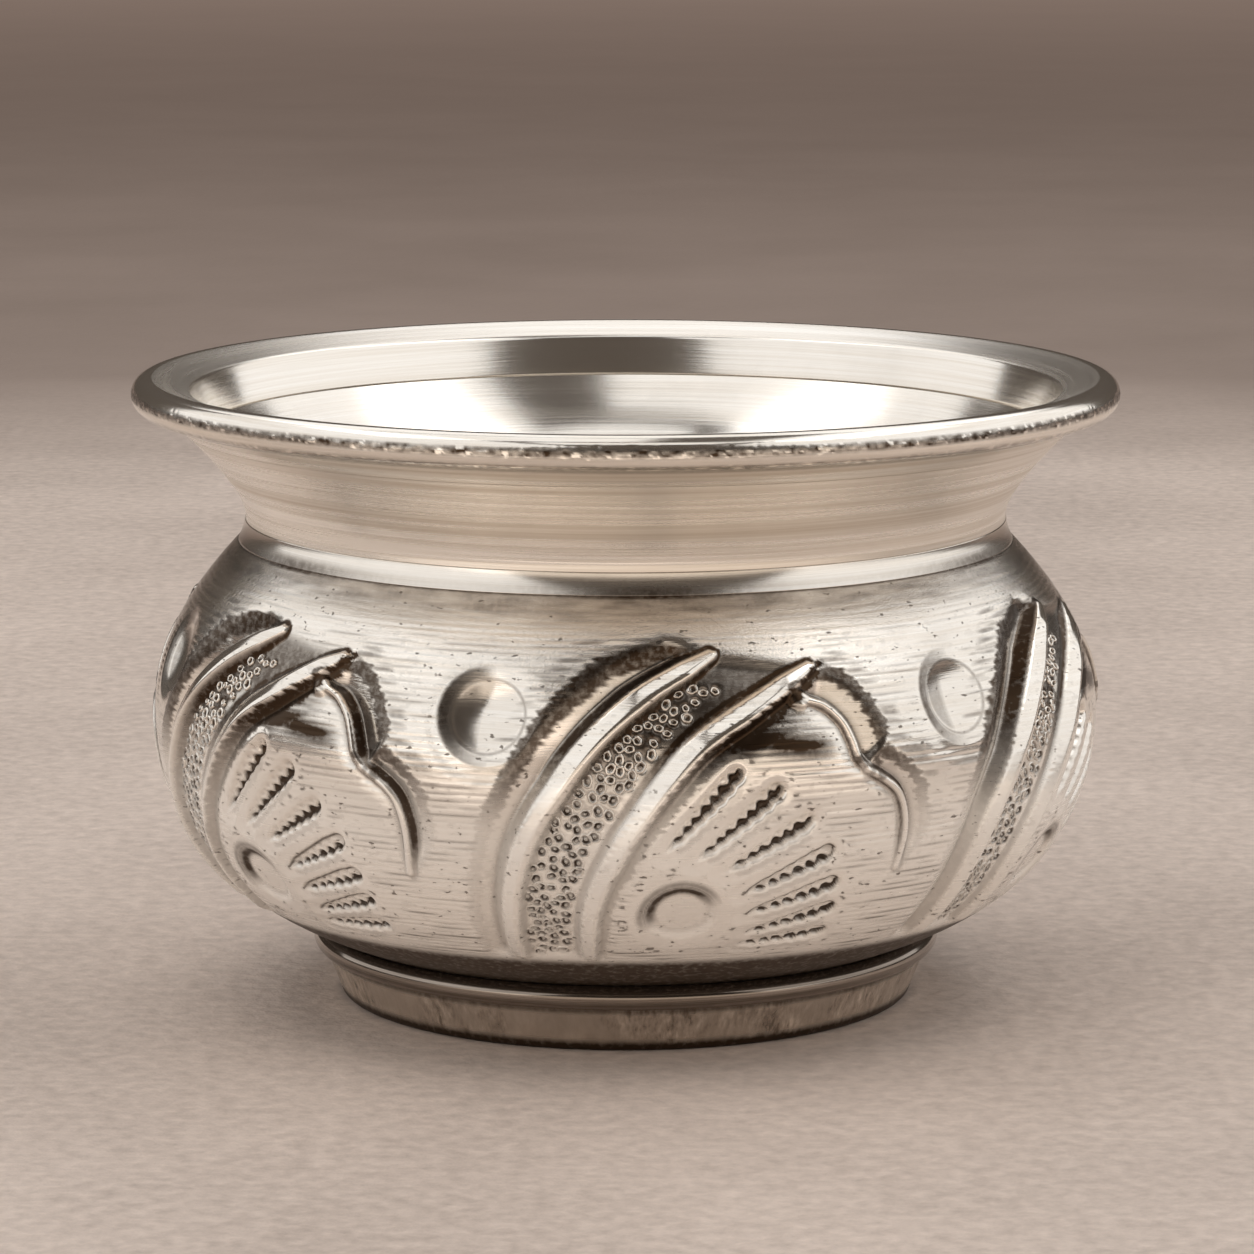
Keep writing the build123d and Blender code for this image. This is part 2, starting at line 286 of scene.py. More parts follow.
def metal(
    name, lines, rough, depth, metallic, colours=(WARM_SILVER, SILVER),
    stain=0.0, specks=0.0, patchy=False, worn=False, dulled=False,
):
    """White metal with fine tool lines, in patches or all over, clouds of stain and dark specks.

    rough is the least and the most roughness, depth that of the lines in metres. Worn metal has patina and
    painted shade where its mesh marks them. Dulled metal has a brushed sparkle where marked as plain and is
    duller low on the bowl, but not on edges where that mark is below zero, which are polished.
    """
    nodes = Nodes(name)
    fine = nodes.noise(lines, 3.0, 0.65)
    wide = nodes.noise(tuple(v * 0.28 for v in lines), 3.0, 0.6)
    tone = nodes.math("MULTIPLY", nodes.math("ADD", fine, wide), 0.5)
    cloud = nodes.noise(CLOUDS, 5.0, 0.62)
    if patchy:
        streaky = nodes.spread(cloud, 0.46, 0.60, 0.15, 1.5)
        contrast = nodes.math("MULTIPLY", nodes.math("SUBTRACT", tone, 0.5), streaky)
        tone = nodes.math("ADD", contrast, 0.5)
    colour = nodes.blend(nodes.spread(tone, 0.38, 0.64), *colours)
    dark = nodes.spread(cloud, 0.50, 0.78, 0.0, stain)
    rough_now = nodes.spread(tone, 0.35, 0.66, rough[1], rough[0])
    normal = nodes.bump(wide, depth * 1.6)
    normal = nodes.bump(fine, depth, normal=normal)
    if specks:
        dots = nodes.noise(SPECKS, 2.0, 0.5)
        dark = nodes.math("MAXIMUM", dark, nodes.spread(dots, 0.66, 0.72, 0.0, specks))
    if worn:
        tarnish_and_shade = nodes.add("ShaderNodeAttribute", output=2, attribute_name="tarnish_and_shade")
        grit = nodes.noise(GRIT, 3.0, 0.6)
        patina_and_shade = nodes.math("MULTIPLY", tarnish_and_shade, nodes.spread(grit, 0.28, 0.58, 0.86, 1.12))
        dark = nodes.math("MINIMUM", nodes.math("MAXIMUM", dark, patina_and_shade), 1.0)
    if dulled:
        plain = nodes.add("ShaderNodeAttribute", output=2, attribute_name="plain")
        brushed = nodes.noise(BRUSHED, 3.0, 0.7)
        normal = nodes.bump(brushed, BRUSHED_DEPTH, plain, normal)
        height = nodes.add("ShaderNodeSeparateXYZ", {0: nodes.coords()}, output=2)
        low = nodes.spread(height, DULL_FROM, DULL_BELOW)
        dull = nodes.math("MULTIPLY", low, nodes.spread(tarnish_and_shade, -1.0, 0.0))
        colour = nodes.blend(dull, colour, BRIGHT_SILVER)
        rough_now = nodes.math("ADD", rough_now, nodes.math("MULTIPLY", dull, DULL_ROUGHNESS))
        metallic = nodes.math("SUBTRACT", metallic, nodes.math("MULTIPLY", dull, DULL_METALLIC))
    nodes.set(nodes.shader, "Base Color", nodes.blend(dark, colour, DARK_TARNISH_AND_SHADE))
    nodes.set(nodes.shader, "Metallic", metallic)
    rough_now = nodes.math("ADD", rough_now, nodes.math("MULTIPLY", dark, 0.2))
    nodes.set(nodes.shader, "Roughness", rough_now)
    nodes.set(nodes.shader, "Normal", normal)
    return nodes.material


collar_colours = (COLLAR_SHADE, BRIGHT_SILVER)
belly_metal = metal(
    "belly_metal", LATHE_LINES, (0.06, 0.14), 0.000006, 0.93,
    stain=0.15, specks=0.8, worn=True, dulled=True,
)
collar_metal = metal("collar_metal", COLLAR_LINES, (0.22, 0.36), 0.000018, 0.75, collar_colours)
inside_metal = metal("inside_metal", LONG_LINES, (0.13, 0.21), 0.000004, 0.95, stain=0.10)
lip_metal = metal("lip_metal", LONG_LINES, (0.20, 0.30), 0.000005, 0.92)
rim_metal = metal("rim_metal", LATHE_LINES, (0.10, 0.18), 0.000003, 0.95, stain=0.10, worn=True)
foot_metal = metal(
    "foot_metal", UPRIGHT_STREAKS, (0.18, 0.30), 0.00001, 0.85, (FOOT_SHADE, FOOT_SILVER),
    patchy=True, worn=True,
)
bead_metal = metal(
    "bead_metal", LONG_LINES, (0.08, 0.16), 0.000003, 0.95, (WIRE_SHADE, WIRE_SILVER_SHADED), stain=0.2,
)
rim_seam_metal = metal(
    "rim_seam_metal", COLLAR_LINES, (0.22, 0.36), 0.000018, 0.75, collar_colours, worn=True,
)
seam_metal = metal("seam_metal", LONG_LINES, (0.12, 0.20), 0.000003, 0.95, stain=0.14, worn=True)


# Meshes
PLAIN_COLUMNS, RIM_COLUMNS = 512, 1536
LOOKS_INWARDS = -0.05


def add_piece(name, points, faces, uv, materials, material_index, marks=None):
    """Smooth mesh piece of quads, in millimetres, that rides on the bowl."""
    mesh = bpy.data.meshes.new(name)
    mesh.vertices.add(len(points))
    mesh.vertices.foreach_set("co", (points * MM).astype(np.float32).ravel())
    mesh.loops.add(faces.size)
    mesh.loops.foreach_set("vertex_index", faces.ravel().astype(np.int32))
    mesh.polygons.add(len(faces))
    mesh.polygons.foreach_set("loop_start", np.arange(0, faces.size, 4, dtype=np.int32))
    mesh.uv_layers.new(name="OFBake").uv.foreach_set("vector", uv.ravel().astype(np.float32))
    mesh.update(calc_edges=True)
    mesh.shade_smooth()
    for material in materials:
        mesh.materials.append(material)
    mesh.polygons.foreach_set("material_index", material_index.astype(np.int32))
    for mark, values in (marks or {}).items():
        attribute = mesh.attributes.new(mark, "FLOAT", "POINT")
        attribute.data.foreach_set("value", values.ravel().astype(np.float32))
    piece = bpy.data.objects.new(name, mesh)
    bpy.context.collection.objects.link(piece)
    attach(piece, "root")
    return piece


def grid_faces(rows, columns):
    """Quads of a grid that closes both ways, and the row and column of each of their corners."""
    i, j = np.meshgrid(np.arange(rows), np.arange(columns), indexing="ij")
    down = np.stack([i, i + 1, i + 1, i], -1)
    right = np.stack([j, j, j + 1, j + 1], -1)
    return ((down % rows) * columns + right % columns).reshape(-1, 4), down, right


def turned(name, node, materials, section, columns, lift=0.0, marks=None, finish=None):
    """Piece turned about Z from a closed clockwise half section, which stands for one CAD node.

    lift moves its points along the normals. finish is the number of each row's material; without it the
    last material is for the rows that look inwards.
    """
    normals = section_normals(section, True)
    lift = lift + np.zeros((1, columns))
    radius = section[:, :1] + normals[:, :1] * lift
    height = section[:, 1:] + normals[:, 1:] * lift
    angle = np.radians(np.arange(columns) * 360.0 / columns)[None]
    points = np.stack([radius * np.sin(angle), -radius * np.cos(angle), height], -1).reshape(-1, 3)
    faces, down, right = grid_faces(len(section), columns)
    steps = np.hypot(*(np.roll(section, -1, 0) - section).T)
    along = np.concatenate([[0], np.cumsum(steps)]) / steps.sum()
    uv = np.stack([right / columns, along[down]], -1)
    if finish is None:
        finish = (normals[:, 0] < LOOKS_INWARDS) * (len(materials) - 1)
    piece = add_piece(name, points, faces, uv, materials, np.repeat(finish, columns), marks)
    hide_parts(node)


# The belly's ornament, drawn on the unrolled belly as (degrees, millimetres down from the crease)
REPEATS = 6
SECTOR = 360.0 / REPEATS
SECTOR_COLUMNS = 360
ORNAMENT_STEP = 0.095
ORNAMENT_TOP, ORNAMENT_BOTTOM = 3.0, 30.6
CREASE_HEIGHT = 33.8
LATHE_STEP = 0.47
FAR_BELOW = -9.0
OUTER_RIDGE = [
    (10.4, 6.0), (7.1, 7.0), (2.8, 8.4), (-0.4, 9.8), (-3.5, 11.5), (-6.3, 13.5), (-8.4, 15.4),
    (-10.0, 16.8), (-11.9, 18.9), (-13.3, 21.3), (-14.2, 23.8), (-14.8, 27.0), (-15.0, 31.0),
]
INNER_RIDGE = [
    (22.8, 7.2), (20.0, 8.0), (16.3, 9.2), (12.4, 10.5), (9.4, 11.6), (7.0, 12.8), (4.8, 14.3), (3.0, 15.7),
    (1.4, 17.1), (-0.2, 18.5), (-1.8, 20.3), (-3.4, 22.3), (-4.5, 24.6), (-5.0, 27.6), (-5.1, 31.0),
]
RIDGE_RUNS = [0, 2, 6, 12, 18, 24, 28]
RIDGE_WIDTHS = [0.55, 0.90, 1.12, 1.08, 0.95, 0.82, 0.72]
OUTER_TILTS = [0.10, 0.14, 0.28, 0.40, 0.42, 0.40, 0.35]
INNER_TILTS = [0.12, 0.18, 0.42, 0.58, 0.52, 0.42, 0.35]
UPPER_SCROLL = [
    (21.0, 9.3), (22.1, 9.6), (24.0, 10.1), (25.8, 11.2), (26.8, 12.5), (27.4, 13.6), (28.5, 14.5),
]
LOWER_SCROLL = [
    (28.5, 14.5), (30.3, 15.1), (32.0, 15.8), (33.1, 16.6), (33.8, 17.8), (34.1, 19.1), (34.0, 20.4),
    (33.8, 21.8),
]
LIP_HALF_WIDTH, LIP_HEIGHT = 0.29, 0.26
BULB, BULB_RADIUS, BULB_HEIGHT = (20.9, 9.5), 0.72, 0.24
DIMPLE, DIMPLE_DENT = (-16.4, 10.4), (-16.4, 10.9)
DISH_EDGE, DISH_BALL = 2.6, 5.8
MEDALLION = (6.8, 24.7)
FAN = [
    ((4.5, 19.6), (12.4, 14.3)),
    ((8.0, 20.3), (17.3, 15.5)),
    ((11.5, 21.2), (21.3, 17.7)),
    ((14.1, 23.0), (24.1, 20.1)),
    ((15.0, 24.8), (25.3, 22.6)),
    ((15.8, 26.8), (25.8, 24.8)),
    ((15.6, 28.2), (26.0, 27.3)),
]
HIGH_SLOTS = 3
LUMP_STEP = 0.93
PUNCH_TRIES, PUNCH_DENT = 12000, 0.24

# Painted dark reflection on the ground right of the inner ridge: place, slope, half length and half width of
# each patch
DARK_GROUND_REFLECTION = [((16.2, 11.7), -0.42, 3.0, 1.15), ((20.0, 12.6), 0.1, 2.5, 0.8)]


def smooth_line(points, count=90):
    """A smooth line through drawn points."""
    points = np.asarray(points, float)
    padded = np.concatenate([2 * points[:1] - points[1:2], points, 2 * points[-1:] - points[-2:-1]])
    place = np.linspace(0, len(points) - 1, count)
    i = np.minimum(place.astype(int), len(points) - 2)
    t = (place - i)[:, None]
    p0, p1, p2, p3 = (padded[i + k] for k in range(4))
    square = 2 * p0 - 5 * p1 + 4 * p2 - p3
    cube = 3 * p1 - p0 - 3 * p2 + p3
    return (2 * p1 + (p2 - p0) * t + square * t**2 + cube * t**3) * 0.5


def ramp(value, start, end):
    """Smooth step from 0 at start to 1 at end."""
    t = np.clip((value - start) / (end - start), 0, 1)
    return t * t * (3 - 2 * t)


def window(value, start, end, soft=0.15):
    """1 between two values, with soft ends."""
    return ramp(value, start - soft, start + soft) * (1 - ramp(value, end - soft, end + soft))


def wrapped(angle, middle):
    """Angle from a middle angle, in the repeat that is centred on it."""
    return (angle - middle + SECTOR / 2) % SECTOR - SECTOR / 2


def blurred(field, rows, columns):
    """Field smoothed over so many rows and columns; it runs on round the axis."""
    down = np.fft.fftfreq(field.shape[0])[:, None] * rows
    across = np.fft.rfftfreq(field.shape[1])[None] * columns
    keep = np.exp(-2 * np.pi**2 * (down**2 + across**2))
    return np.fft.irfft2(np.fft.rfft2(field) * keep, field.shape)


def grain(shape, rows, columns):
    """Random field with spread 1, smooth over so many rows and columns."""
    field = blurred(seed.standard_normal(shape), rows, columns)
    return field / field.std()


class Unrolled:
    """Grid over one repeat of the belly, with lengths measured on its surface."""

    def __init__(self, depth, radius):
        self.angle = (np.arange(SECTOR_COLUMNS) * SECTOR / SECTOR_COLUMNS)[None]
        self.depth = depth[:, None]
        self.reach = np.radians(radius)[:, None]

    def offset(self, point, middle=None):
        """Millimetres to the right of and below a point."""
        middle = point[0] if middle is None else middle
        across = (wrapped(self.angle, middle) + middle - point[0]) * self.reach
        return across, np.broadcast_to(self.depth - point[1], across.shape)

    def distance(self, point):
        """Millimetres from a point."""
        return np.hypot(*self.offset(point))

    def line(self, points):
        """Distance from a line, the length along it and its whole length.

        The distance is positive above a line that falls to the left.
        """
        middle = np.mean([p[0] for p in points])
        best = np.full((self.depth.size, SECTOR_COLUMNS), 1e9)
        side = np.zeros_like(best)
        place = np.zeros_like(best)
        travelled = 0.0
        for a, b in zip(points[:-1], points[1:]):
            ax, ay = self.offset(a, middle)
            dx = (b[0] - a[0]) * self.reach
            dy = b[1] - a[1]
            span = dx * dx + dy * dy
            t = np.clip((ax * dx + ay * dy) / span, 0, 1)
            gap = np.hypot(ax - t * dx, ay - t * dy)
            nearer = gap < best
            best = np.where(nearer, gap, best)
            side = np.where(nearer, np.sign(dx * ay - dy * ax), side)
            length = np.sqrt(span)
            place = np.where(nearer, travelled + t * length, place)
            travelled = travelled + length.mean()
        return best * side, place, travelled


class Ridge:
    """A drawn ridge: the distance from its line, the length along it, its width and its rib.

    The rib has a broad tilted crest, and steep flanks that run on below any floor.
    """

    def __init__(self, belly, points, tilts):
        self.gap, self.run, _ = belly.line(smooth_line(points))
        self.wide = np.interp(self.run, RIDGE_RUNS, RIDGE_WIDTHS)
        self.share = self.gap / self.wide
        tilt = np.interp(self.run, RIDGE_RUNS, tilts)
        crest = 0.46 - tilt * np.clip(self.share + 0.5, 0, 0.92)
        bevel = 0.18 * np.clip(-0.5 - self.share, 0, 0.3)
        right = bevel + 1.6 * np.clip(-0.8 - self.share, 0, None)
        left = 1.1 * np.clip(self.share - 0.42, 0, None)
        self.rib = self.wide * (crest - right - left)


def lip(gap, height):
    """Narrow rib with steep flanks that run on below any floor."""
    share = gap / LIP_HALF_WIDTH
    return height * np.interp(share, [-9, -0.85, -0.30, 0.30, 0.85, 9], [-25, 0.5, 1, 1, 0.5, -25])


def trench(gap, start, wall, rounding, slope):
    """Depth of a trench: full up to start, then a straight wall that rounds off into the ground."""
    along = np.clip(gap - start, 0, wall + rounding)
    straight = slope * (wall + rounding / 2 - along)
    rounded = slope * (wall + rounding - along) ** 2 / (2 * rounding)
    return np.where(gap > 0, np.where(along < wall, straight, rounded), 0)


class Ornament(Unrolled):
    """One repeat of the ornament while it is worked.

    sunk and raised are in millimetres. patina, polish and pad, the smooth ground, run from 0 to 1. patina
    also holds painted shade and painted dark reflections. upper and fading weaken it low on the belly, upper
    on the ridges' flanks and the inner trench and fading on the fur and its halo; comb and streaks break up
    its edges.
    """

    def __init__(self, depth, radius):
        super().__init__(depth, radius)
        shape = (depth.size, SECTOR_COLUMNS)
        self.sunk, self.patina_and_shade, self.polish, self.pad = np.zeros((4, *shape))
        self.raised = np.full(shape, FAR_BELOW)
        self.outer = Ridge(self, OUTER_RIDGE, OUTER_TILTS)
        self.inner = Ridge(self, INNER_RIDGE, INNER_TILTS)
        self.upper = np.interp(self.depth, [5, 12, 15, 19, 28], [1.0, 1.0, 0.6, 0.35, 0.3])
        self.fading = np.interp(self.depth, [5, 14, 18], [1.0, 0.9, 0.15])
        lathe_teeth = (self.depth / LATHE_STEP) % 1 - 0.5
        self.comb = lathe_teeth * 0.16 + 0.09 * grain(shape, 0.9, 5)
        self.streaks = np.clip(0.25 + 0.6 * grain(shape, 0.9, 11), 0, 1)
        (left, left_top), (right, right_top) = OUTER_RIDGE[0], INNER_RIDGE[0]
        across = wrapped(self.angle, (left + right) / 2) + (left + right) / 2
        self.top_line = left_top + (across - left) / (right - left) * (right_top - left_top)

    def sink(self, depth):
        self.sunk = np.maximum(self.sunk, depth)

    def lift(self, height):
        self.raised = np.maximum(self.raised, height)

    # Darkens with patina; the features also paint shade and dark reflections through it
    def stain(self, amount):
        self.patina_and_shade = np.maximum(self.patina_and_shade, amount)

    def shine(self, amount):
        self.polish = np.maximum(self.polish, amount)

    def smooth(self, amount):
        self.pad = np.maximum(self.pad, amount)


def outer_ridge(work):
    """Ridge with a wide trench on its upper left, whose far edge is dark and furry."""
    gap, run, wide, share = work.outer.gap, work.outer.run, work.outer.wide, work.outer.share
    work.lift(work.outer.rib)
    work.shine(0.8 * window(share, -0.55, 0.45, 0.1))
    work.sink(trench(gap, 1.25 * wide, 1.2 * wide, 1.1 * wide, 0.52) * ramp(run, 0.0, 2.2))
    # Painted dark reflection on the ridge's upper left flank, weaker low on the belly
    work.stain(work.upper * window(share, 0.55, 1.3))
    work.stain(0.7 * window(share, 1.2, 2.6) * window(run, 1.4, 4.5, 0.8))
    fur_start = np.interp(run, [0, 2, 6, 12], [0.6, 1.2, 1.95, 2.25])
    fur_end = fur_start + np.interp(run, [0, 2, 6, 12], [0.9, 1.35, 1.55, 1.2])
    fur = window((gap + work.comb) / wide, fur_start, fur_end, 0.14) * ramp(run, 0.0, 0.5)
    work.stain(0.9 * work.fading * fur)
    halo = window(share, fur_end, fur_end + 1.5, 0.5) * ramp(run, 1.5, 3.5)
    work.stain(0.6 * work.fading * halo * work.streaks)
    # Painted dark reflection on the ridge's lower right flank, weaker low on the belly
    work.stain(work.upper * window(share, -1.5, -0.95))


def inner_ridge(work):
    """Ridge with a narrow trench on its lower right."""
    gap, wide, share = work.inner.gap, work.inner.wide, work.inner.share
    work.lift(work.inner.rib)
    work.shine(0.8 * window(-share, -0.45, 0.55, 0.1))
    work.sink(trench(-gap, 1.20 * wide, 0.3 * wide, 1.3 * wide, 0.34))
    # Painted dark reflection on the ridge's upper left flank, weaker low on the belly
    work.stain(work.upper * window(share, 0.55, 1.2))
    work.stain(work.upper * window((work.comb - gap) / wide, 0.75, 1.85, 0.12))


def band(work):
    """Sunken band between the ridges, which rises to the line between their tips."""
    down = work.depth
    between = (work.outer.gap < 0) * (work.inner.gap > 0) * ramp(down - work.top_line, -0.5, 0.9)
    work.sink(0.34 * between)
    # The band's floor is darkened partly as tarnish and partly as painted dark reflection, which fades low
    # on the belly where the floor reflects light ground
    dark = between * ramp(-work.outer.share, 0.7, 1.0) * ramp(work.inner.share, 0.6, 0.9)
    dark = dark * (1 - 0.65 * window(work.inner.share, 1.2, 1.6, 0.12) * ramp(down, 9.5, 11.5))
    work.stain(dark * np.interp(down, [7, 10, 12, 15, 18], [0.75, 0.85, 0.9, 0.3, 0.05]))


def dimple(work):
    """A dent round a sloping ring round a round dish."""
    work.sink(0.10 * (1 - ramp(work.distance(DIMPLE_DENT), 3.5, 4.5)))
    gap = work.distance(DIMPLE)
    ring = np.interp(gap, [0, DISH_EDGE, 3.60, 3.80], [0.38, 0.38, 0.03, 0.0])
    edge_rise = DISH_BALL**2 - DISH_EDGE**2
    dish = np.sqrt(np.clip(DISH_BALL**2 - gap**2, edge_rise, None)) - math.sqrt(edge_rise)
    work.sink(ring + dish)
    right = work.offset(DIMPLE)[0]
    left_shade = np.clip(0.2 - right / 4, 0, 1)
    # Painted dark reflection in the left half of the dish
    work.stain(0.45 * ramp(-right, 0.3, 1.2) * (1 - ramp(gap, 2.2, 2.6)))
    work.stain(0.5 * window(gap, 2.52, 2.72, 0.1))
    # Painted shade on the left side of the sloping ring
    work.stain(0.8 * left_shade * window(gap, 2.7, 3.5))


def medallion(work):
    """A flat round dish with a sloping wall, and painted shade round its upper edge, darkest just under it.
    """
    gap = work.distance(MEDALLION)
    right, below = work.offset(MEDALLION)
    work.sink(np.interp(gap, [0, 1.3, 1.95, 2.42, 2.60, 3.6], [0.48, 0.48, 0.44, 0.14, 0.10, 0.0]))
    # Painted shadow on the floor under the upper edge, and painted shade just outside that edge
    top = ramp(-0.45 * right - 0.9 * below, -1.0, 1.3)
    work.stain(top * np.maximum(0.7 * window(gap, 2.40, 2.55, 0.07), window(gap, 1.7, 2.4, 0.3)))
    work.stain(0.65 * top * window(gap, 2.5, 2.95, 0.3))
    work.smooth(1 - ramp(gap, 3.2, 4.4))


def fan_slot(work, start, end, low):
    """One slot of the fan: a shelf of lumps, a floor darkened with painted dark reflection and a scalloped
    lower wall.

    The low slots have a narrower floor and painted dark reflection on their upper edge.
    """
    gap, place, length = work.line([end, start])
    place = length - place
    along = place / length
    half = np.interp(along, [0, 0.15, 0.8, 1.0], [0.14, 0.44, 0.74, 0.68])
    wave = 2 * np.pi * place / LUMP_STEP
    lower = half * (1 + 0.10 * np.sin(wave))
    teeth = half * (0.26 * np.cos(wave + 0.5 * np.sin(2.7 * place)) + (-0.25 if low else 0.18))
    above = ramp(gap + lower, 0, 0.34)
    shelf = 0.20 * ramp(half - gap, 0, 0.22)
    floor = ramp(teeth - gap, 0, 0.16) * above
    pillow = 0.08 * np.cos(wave) * window(gap, teeth + 0.1, half - 0.1, 0.12)
    edge = 0.05 * np.exp(-(((gap + lower + 0.06) / 0.10) ** 2)) * (np.abs(gap) < 1.5 * half)
    dip = 0.12 * np.clip(1 - (gap / 1.15) ** 2, 0, 1)
    full = np.interp(along, [0, 0.2, 1], [0.26, 0.38, 0.42])
    work.sink(full * floor + (shelf - pillow) * above - edge + dip)
    dark_foot = (0.10, 0.18) if low else (0.20, 0.30)
    # Painted dark reflection on the floor, and on the low slots' upper edge
    dark = ramp(teeth - gap, 0.02, 0.12) * ramp(gap + lower, *dark_foot)
    if low:
        dark = np.maximum(dark, 0.9 * window(gap, half - 0.24, half - 0.06, 0.07))
    ends = ramp(half - np.abs(gap), -0.2, 0.02)
    work.stain(dark * ends)
    # Painted shade below the slot
    work.stain(0.2 * window(-gap - lower, 0.12, 0.55, 0.15) * window(along, 0.05, 0.95, 0.05))
    work.shine(ends * window(gap + lower, -0.06, 0.08 if low else 0.22, 0.05))
    work.smooth(1 - ramp(np.abs(gap), 0.9, 1.7))


def fan(work):
    """Slots on a smooth pad, which ends in dark dots."""
    for number, (start, end) in enumerate(FAN):
        fan_slot(work, start, end, number >= HIGH_SLOTS)
    dots = ramp(grain(work.pad.shape, 1.0, 1.8), 0.9, 1.5)
    work.stain(0.7 * (window(work.pad, 0.05, 0.75, 0.1) * dots))


def scroll(work, points, wall, rounding, tip, foot):
    """Part of the scroll, a lip between a wide and a narrow trench. Returns the distance from it."""
    gap, place, length = work.line(smooth_line(points, 60))
    wide = 0.3 + 0.7 * ramp(place, -0.4, tip) * ramp(length - place, -0.4, foot)
    work.lift(lip(gap, LIP_HEIGHT * (0.4 + 0.6 * wide)))
    work.sink(trench(-gap, 0.50 * wide, wall * wide, rounding * wide, 0.40))
    work.sink(trench(gap, 0.40 * wide, 0.1 * wide, 0.9 * wide, 0.34))
    work.shine(window(gap, -0.16, 0.16, 0.06))
    # Painted dark reflection in the trenches on both sides of the lip
    work.stain(wide * window(-gap, 0.22, 0.62, 0.08))
    work.stain(0.85 * wide * window(gap, 0.22, 0.40, 0.08))
    edge = (0.55 + wall) * wide
    fur_end = edge + 0.85 * rounding * wide
    work.stain(0.88 * work.fading * window(work.comb - gap, edge - 0.15, fur_end, 0.1))
    halo = window(-gap, fur_end, fur_end + 1.2, 0.4)
    work.stain(0.6 * work.fading * wide * halo * work.streaks)
    return np.abs(gap)


def scrolls(work):
    """Both parts of the scroll, the bulb at its tip and a painted dark reflection on the ground below it."""
    to_upper = scroll(work, UPPER_SCROLL, 1.5, 1.1, 1.5, 0.8)
    to_lower = scroll(work, LOWER_SCROLL, 0.9, 0.9, 0.8, 3.0)
    bulb = work.distance(BULB) / BULB_RADIUS
    work.lift(np.where(bulb < 1, BULB_HEIGHT * np.sqrt(np.clip(1 - bulb**2, 0, 1)), FAR_BELOW))
    # Painted dark reflection on the ground right of the inner ridge, kept off the scroll and the pad
    shade = np.zeros_like(work.patina_and_shade)
    for place, slope, long, wide in DARK_GROUND_REFLECTION:
        right, below = work.offset(place)
        patch = np.exp(-((right / long) ** 4) - ((below - slope * right) / wide) ** 4)
        shade = np.maximum(shade, patch)
    shade = shade * np.clip(0.95 + 0.25 * grain(shade.shape, 0.8, 16), 0.3, 1.2)
    shade = shade * ramp(np.minimum(to_upper, to_lower), 0.4, 0.75) * (1 - ramp(work.pad, 0.1, 0.5))
    work.stain(0.95 * shade * ramp(-work.inner.share, 0.5, 0.8))


def punch_places(work):
    """Places and sizes for ring punches, scattered over the band and clear of the ridges."""
    clear = work.outer.gap <= -1.05 * work.outer.wide - 0.25
    clear &= work.inner.gap >= 1.20 * work.inner.wide + 0.45
    spots = []
    for _ in range(PUNCH_TRIES):
        angle = seed.uniform(-16, 18)
        down = seed.uniform(7.5, 29.5)
        row = np.argmin(np.abs(work.depth - down))
        column = int(round(angle % SECTOR / SECTOR * SECTOR_COLUMNS)) % SECTOR_COLUMNS
        if not clear[row, column] or down < work.top_line[0, column] + 2.4:
            continue
        scale = work.reach[row, 0]
        low = ramp(down, 12, 18)
        spacing = 0.68 - 0.06 * low
        if any(math.hypot((angle - a) * scale, down - d) < spacing for a, d, _ in spots):
            continue
        spots.append((angle, down, seed.uniform(0.21, 0.28) + 0.05 * low))
    return spots


def punch_dents(work, spots):
    """Dents that the ring punches leave round their marks."""
    dents = np.zeros_like(work.sunk)
    for angle, down, size in spots:
        mark = np.exp(-((work.distance((angle, down)) / size / 1.2) ** 2))
        dents = np.maximum(dents, PUNCH_DENT * mark)
        work.stain(0.55 * mark)
    return dents


def ornament(depth, radius):
    """Relief of one repeat in millimetres, its punches' dents, its patina, smooth pad and punched places.

    The relief is positive outwards. The patina, which also holds painted shade and painted dark reflections,
    is below zero where the metal is polished.
    """
    work = Ornament(depth, radius)
    for feature in (outer_ridge, inner_ridge, band, dimple, medallion, fan, scrolls):
        feature(work)
    spots = punch_places(work)
    dents = punch_dents(work, spots)
    relief = blurred(np.maximum(work.raised, -work.sunk), 1.0, 1.0)
    patina_and_shade = np.where(work.patina_and_shade > 0.1, work.patina_and_shade, -work.polish)
    fade = 1 - ramp(depth, 29.0, 30.3)[:, None]
    return relief * fade, dents * fade, patina_and_shade * fade, work.pad, spots


# Profile of a ring punch's mark: shares of its radius, and for marks high and low on the belly its height in
# millimetres above the floor and its patina; high on the belly that also paints a dark reflection in and
# round the ring
MARK_REACH = np.array([0.12, 0.36, 0.58, 0.80, 1.0, 1.22, 1.55, 1.3, 0.5])
MARK_LIFT = np.array([
    [-0.09, -0.09, -0.06, 0.04, 0.10, 0.05, -0.09, -0.4, -0.4],
    [0.02, -0.04, -0.13, -0.15, -0.03, 0.03, -0.08, -0.4, -0.4],
])
MARK_PATINA_AND_SHADE = np.array([
    [1.0, 1.0, 1.0, 0.3, 0.0, 0.1, 0.9, 1.0, 1.0],
    [0.1, 0.6, 0.9, 0.9, 0.7, 0.2, 0.1, 1.0, 1.0],
])
MARK_TURNS = 16


